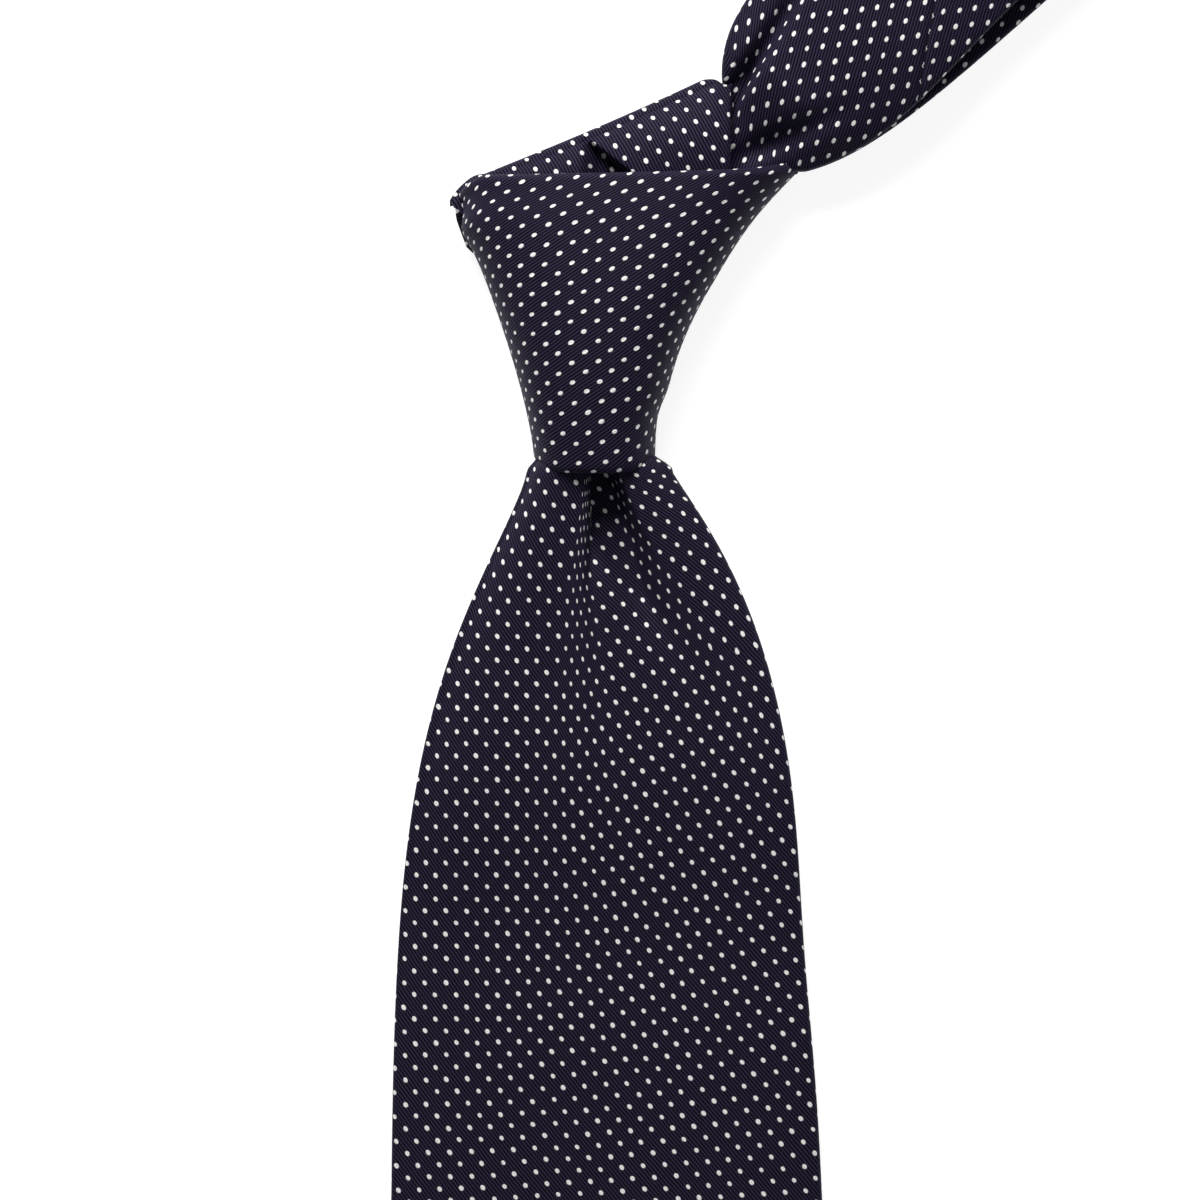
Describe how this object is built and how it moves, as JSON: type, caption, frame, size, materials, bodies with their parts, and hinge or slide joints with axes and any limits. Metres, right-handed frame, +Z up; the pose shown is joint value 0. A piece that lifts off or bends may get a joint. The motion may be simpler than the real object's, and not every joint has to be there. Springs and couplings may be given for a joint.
{
  "type": "necktie",
  "caption": "Silk necktie tied in a four-in-hand knot and laid flat, with dimpled blade, tail and neck loop, in dark twill with small pale pin dots.",
  "frame": {"origin": "centre of the knot's outline, on the flat face under the knot that rests on the table", "axes": "+Z up from the table, +Y along the tie from the blade's point to the knot, +X to the right seen from above"},
  "size_m": [0.2337, 0.6579, 0.0185],
  "materials": {
    "shell_silk": "dark navy twill silk with white pin dots, soft sheen",
    "interlining": "brushed undyed wool",
    "tipping": "plain dark lining, smooth",
    "thread": "dark silk sewing thread",
    "label": "blank woven satin ribbon"
  },
  "bodies": {
    "knot": {"knot_front_wrap": "shell_silk", "knot_wrap_interlining": "interlining", "knot_back_wrap": "shell_silk", "knot_core_pass": "shell_silk", "knot_over_pass": "shell_silk", "knot_neck_gather": "shell_silk"},
    "blade": {"blade_shell": "shell_silk", "blade_interlining": "interlining", "blade_tipping": "tipping", "blade_slip_stitch": "thread", "blade_bar_tack": "thread", "keeper_loop": "shell_silk", "care_label": "label"},
    "tail_core": {"tail_core": "shell_silk"},
    "tail": {"tail_shell": "shell_silk", "tail_interlining": "interlining", "tail_tipping": "tipping", "tail_slip_stitch": "thread", "tail_bar_tack": "thread"},
    "neck_base": {"neck_throat_upper": "shell_silk", "neck_throat_lower": "shell_silk", "blade_join_seam": "thread"},
    "neck_loop": {"neck_upper_run": "shell_silk", "neck_lower_run": "shell_silk", "neck_bend": "shell_silk", "neck_interlining": "interlining", "neck_slip_stitch": "thread", "tail_join_seam": "thread"}
  },
  "joints": [
    {"name": "blade_lift", "type": "hinge", "parent": "knot", "child": "blade", "pos_m": [0, -0.0264, 0.0148], "axis": [-1, 0, 0], "range_deg": [0, 80]},
    {"name": "tail_draw", "type": "slide", "parent": "knot", "child": "tail_core", "axis": [0, -1, 0], "range_m": [0, 0.024]},
    {"name": "tail_swing", "type": "hinge", "parent": "tail_core", "child": "tail", "pos_m": [-0.001, -0.033, 0.002], "axis": [0, 0, 1], "range_deg": [-15, 15]},
    {"name": "loop_draw", "type": "slide", "parent": "knot", "child": "neck_base", "axis": [-0.7431, -0.6691, 0], "range_m": [0, 0.012]},
    {"name": "neck_lift", "type": "hinge", "parent": "neck_base", "child": "neck_loop", "pos_m": [0.06787, 0.0718, 0.0104], "axis": [0.6691, -0.7431, 0], "range_deg": [0, 60]}
  ],
  "couplings": [
    {"joint": "loop_draw", "follows": "tail_draw", "ratio": 0.5}
  ]
}
